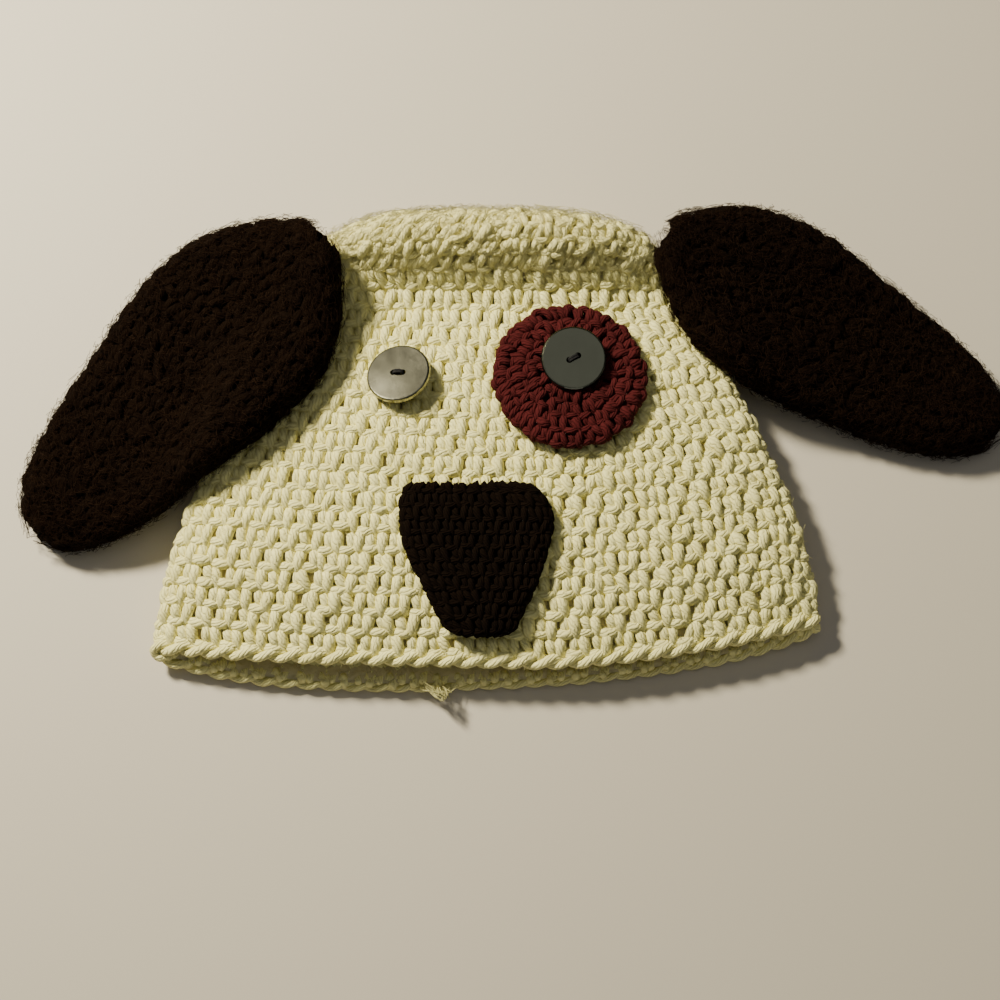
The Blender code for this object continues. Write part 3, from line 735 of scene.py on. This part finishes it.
# The nose: a shield of thin near-black brown yarn, worked in close rows from its straight top
# to its point, and sewn on flat round its edge.
NOSE_TOP = Vector((-3.2 * MM, -12.8 * MM))
NOSE_LENGTH = 50 * MM
NOSE_ROUNDS = 11
NOSE_PITCH = 4.5 * MM
NOSE_YARN = 2.2 * MM
NOSE_DRIFT = 0.3
NOSE_RELIEF = 0.6  # height of its stitches, against the crown's
NOSE_SINK = 0.8 * MM
NOSE_GROUND_DEPTH = 1.4 * MM
nose = pad_cloth("nose", NOSE_TOP, -math.pi / 2, NOSE_LENGTH, NOSE_ROUNDS)
dark = yarn_finish(
    "nose_yarn", (0.0060, 0.0030, 0.0014), (0.0022, 0.0012, 0.0007), 0.95, 0.0, 0.06
)
nose_counts = [
    max(5, round(float(nose.girth_at(n + 0.5)) / NOSE_PITCH)) for n in range(NOSE_ROUNDS)
]
nose_ground = add_ground("nose_ground", nose, NOSE_GROUND_DEPTH, dark, closed=True)
settle(nose_ground, "brown_yarn", "nose")
for face, under in (("upper", False), ("under", True)):
    paths, radii = stitches(
        nose, 0, NOSE_ROUNDS, nose_counts, NOSE_YARN, NOSE_DRIFT, seed=6, under=under,
        points=5 if under else 7, relief=NOSE_RELIEF, sink=NOSE_SINK,
    )
    worked = add_strands(f"nose_{face}", paths, radii, dark, sides=4 if under else 5)
    settle(worked, "brown_yarn")

# The buttons: flat turned metal discs with a satin face and a rounded edge, each held by a
# few turns of black thread through its two holes.
BUTTON_ROUGHNESS = 0.17
BUTTON_FACE = 1.1 * MM  # from a button's middle to its face
THREAD_WIDTH = 0.55 * MM
THREAD_TURNS, THREAD_SPREAD = 5, 0.9 * MM  # turns side by side, and how wide they lie
THREAD_UNEVEN, THREAD_STAGGER = 0.12 * MM, 2.1  # how the turns rise over one another
# The line of one turn, from hole to hole and above the face, mm
THREAD_LINE = [
    (-1.5, -1.6), (-1.5, -0.2), (-1.3, 0.5), (-0.6, 0.85),
    (0.6, 0.85), (1.3, 0.5), (1.5, -0.2), (1.5, -1.6),
]


def turned_metal(name, colour, roughness, node, facing):
    """Satin metal with fine rings from turning, and smudges that change its gloss."""
    low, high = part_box(node)
    finish = bpy.data.materials.new(name)
    finish.use_nodes = True
    nodes, links = finish.node_tree.nodes, finish.node_tree.links
    shader = nodes["Principled BSDF"]
    shader.inputs["Metallic"].default_value = 1.0
    place = nodes.new("ShaderNodeTexCoord")
    seen = nodes.new("ShaderNodeMapping")
    seen.vector_type = "TEXTURE"
    seen.inputs["Location"].default_value = (low + high) / 2
    seen.inputs["Rotation"].default_value = Vector(facing).to_track_quat("Z", "Y").to_euler()
    links.new(place.outputs["Object"], seen.inputs["Vector"])
    rings = nodes.new("ShaderNodeTexWave")
    rings.wave_type = "RINGS"
    rings.rings_direction = "Z"
    rings.inputs["Scale"].default_value = 900
    rings.inputs["Distortion"].default_value = 1.5
    links.new(seen.outputs["Vector"], rings.inputs["Vector"])
    smudge = nodes.new("ShaderNodeTexNoise")
    smudge.inputs["Scale"].default_value = 240
    smudge.inputs["Detail"].default_value = 5
    links.new(seen.outputs["Vector"], smudge.inputs["Vector"])
    gloss = nodes.new("ShaderNodeMapRange")
    gloss.inputs["From Min"].default_value = 0.3
    gloss.inputs["From Max"].default_value = 0.7
    gloss.inputs["To Min"].default_value = roughness - 0.015
    gloss.inputs["To Max"].default_value = roughness + 0.02
    links.new(smudge.outputs["Fac"], gloss.inputs["Value"])
    links.new(gloss.outputs[0], shader.inputs["Roughness"])
    tint = nodes.new("ShaderNodeMix")
    tint.data_type = "RGBA"
    tint.inputs["A"].default_value = (*colour, 1)
    tint.inputs["B"].default_value = (*(0.8 * value for value in colour), 1)
    links.new(smudge.outputs["Fac"], tint.inputs["Factor"])
    links.new(tint.outputs["Result"], shader.inputs["Base Color"])
    bump = nodes.new("ShaderNodeBump")
    bump.inputs["Distance"].default_value = 0.01 * MM
    bump.inputs["Strength"].default_value = 0.5
    links.new(rings.outputs["Fac"], bump.inputs["Height"])
    links.new(bump.outputs["Normal"], shader.inputs["Normal"])
    return finish


black = yarn_finish("black_thread", (0.014, 0.014, 0.016), (0.006, 0.006, 0.007), 0.7, 0.05)
for side, facing, turn, colour in (
    ("left", (-0.20, 0.24, 1.0), math.radians(-6), (0.24, 0.235, 0.18)),
    ("right", (0.02, -0.06, 1.0), math.radians(28), (0.15, 0.155, 0.115)),
):
    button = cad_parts[f"button_{side}"]
    button.data.materials.clear()
    button.data.materials.append(
        turned_metal(f"button_metal_{side}", colour, BUTTON_ROUGHNESS, f"button_{side}", facing)
    )
    low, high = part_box(f"button_{side}")
    normal = Vector(facing).normalized()
    bar = Vector((math.cos(turn), math.sin(turn), 0))
    bar = (bar - normal * bar.dot(normal)).normalized()
    across = normal.cross(bar)
    middle = (low + high) / 2 + normal * BUTTON_FACE
    paths = []
    for number in range(THREAD_TURNS):
        offset = (number / (THREAD_TURNS - 1) - 0.5) * THREAD_SPREAD
        rise = THREAD_UNEVEN * math.cos(number * THREAD_STAGGER)
        paths.append([
            middle + bar * x * MM + normal * (z * MM + rise) + across * offset
            for x, z in THREAD_LINE
        ])
    thread = add_strands(
        f"thread_{side}", np.array(paths), THREAD_WIDTH / 2 * np.ones((THREAD_TURNS, 1)), black
    )
    settle(thread, "black_thread", f"button_thread_{side}")

# The floor is a pale matt board just under the hat. A warm soft lamp at the upper left lights
# it, with a broad weak lamp overhead, another in front, and a little even light all round.
FLOOR_HALF = 2
FLOOR_DROP = 0.5 * MM  # so that the lowest strands lie on it and not in it
corners = [(x * FLOOR_HALF, y * FLOOR_HALF, 0) for x, y in ((-1, -1), (1, -1), (1, 1), (-1, 1))]
floor_mesh = bpy.data.meshes.new("floor")
floor_mesh.from_pydata(corners, [], [(0, 1, 2, 3)])
floor = bpy.data.objects.new("floor", floor_mesh)
floor.location.z = -FLOOR_DROP
bpy.context.scene.collection.objects.link(floor)
floor_finish = bpy.data.materials.new("floor")
floor_finish.use_nodes = True
floor_shader = floor_finish.node_tree.nodes["Principled BSDF"]
floor_shader.inputs["Base Color"].default_value = (0.60, 0.55, 0.46, 1)
floor_shader.inputs["Roughness"].default_value = 0.6
floor_mesh.materials.append(floor_finish)


def add_lamp(name, place, size, power, colour):
    """A square lamp that points at the middle of the hat's back."""
    data = bpy.data.lights.new(name, "AREA")
    data.size, data.energy, data.color = size, power, colour
    lamp = bpy.data.objects.new(name, data)
    lamp.location = place
    lamp.rotation_euler = (-Vector(place)).to_track_quat("-Z", "Y").to_euler()
    bpy.context.scene.collection.objects.link(lamp)


add_lamp("key", (-0.466, 0.408, 0.583), 0.12, 16.4, (1.0, 0.915, 0.70))
add_lamp("fill", (0.06, 0.18, 1.5), 1.2, 2.0, (0.97, 0.96, 0.92))
add_lamp("front", (0.1, -1.3, 0.5), 0.9, 1.4, (0.97, 0.96, 0.94))
world = bpy.data.worlds.new("studio")
world.use_nodes = True
around = world.node_tree.nodes["Background"]
around.inputs["Color"].default_value = (0.84, 0.84, 0.82, 1)
around.inputs["Strength"].default_value = 0.07
bpy.context.scene.world = world
